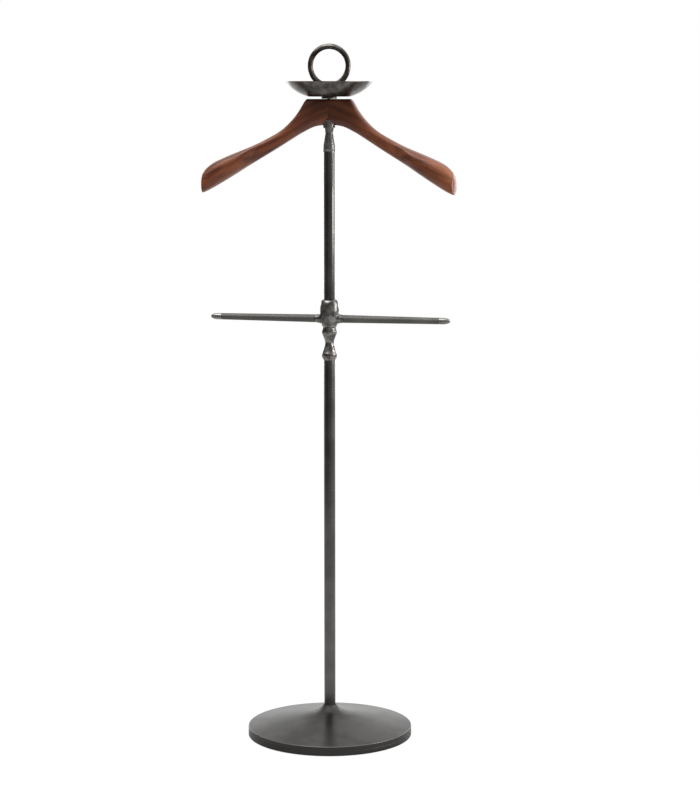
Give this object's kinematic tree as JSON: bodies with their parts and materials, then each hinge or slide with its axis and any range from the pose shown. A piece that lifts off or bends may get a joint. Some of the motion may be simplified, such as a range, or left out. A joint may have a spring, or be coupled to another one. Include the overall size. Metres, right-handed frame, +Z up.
{
  "type": "valet stand",
  "caption": "Floor-standing valet stand: weighted round base, slim post, trouser bar, curved wooden suit hanger, small dish tray and ring handle on top.",
  "frame": {"origin": "centre of the base's underside, on the post's axis", "axes": "+Z up along the post; +X to the stand's right, along the trouser bar and the hanger; -Y is the front, towards which the hanger's arms curve"},
  "size_m": [0.451, 0.29, 1.2182],
  "materials": {
    "cast_gunmetal": "dark antiqued gunmetal, soft satin, cast and turned",
    "concrete": "cast concrete, hidden",
    "gunmetal_tube": "dark gunmetal, brushed along the tube",
    "gunmetal_dish": "dark gunmetal, soft hammered satin",
    "bright_gunmetal": "gunmetal polished bright",
    "plain_steel": "plain machined steel",
    "mahogany": "stained mahogany under satin lacquer",
    "birch": "bare birch",
    "nylon": "black nylon",
    "felt": "black pressed felt"
  },
  "bodies": {
    "root": {"base_casting": "cast_gunmetal", "base_weight": "concrete", "felt_pad": "felt", "base_bolt": "plain_steel", "base_washer": "plain_steel", "lower_post": "gunmetal_tube", "lower_post_bottom_plug": "plain_steel", "lower_post_top_plug": "plain_steel", "baluster": "cast_gunmetal", "hub_washer_lower": "nylon", "hub_stud": "plain_steel", "hub_washer_upper": "nylon", "upper_post_bottom_plug": "plain_steel", "upper_post": "gunmetal_tube", "upper_post_top_plug": "plain_steel", "neck_ferrule": "bright_gunmetal"},
    "trouser_bar": {"cross_hub": "cast_gunmetal", "bar_left": "gunmetal_tube", "bar_right": "gunmetal_tube", "bar_tip_left": "bright_gunmetal", "bar_tip_right": "bright_gunmetal"},
    "head": {"head_stud": "plain_steel", "head_nut": "plain_steel", "head_washer": "nylon", "hanger_arm_left": "mahogany", "hanger_arm_right": "mahogany", "hanger_dowel_front": "birch", "hanger_dowel_back": "birch", "tray_spacer": "gunmetal_dish", "tray": "gunmetal_dish", "tray_washer": "plain_steel", "ring_stem": "cast_gunmetal", "ring_handle": "gunmetal_dish"}
  },
  "joints": [
    {"name": "bar_swivel", "type": "hinge", "parent": "root", "child": "trouser_bar", "pos_m": [0, 0, 0.7444], "axis": [0, 0, 1], "continuous": true},
    {"name": "head_swivel", "type": "hinge", "parent": "root", "child": "head", "pos_m": [0, 0, 1.0894], "axis": [0, 0, 1], "continuous": true}
  ]
}
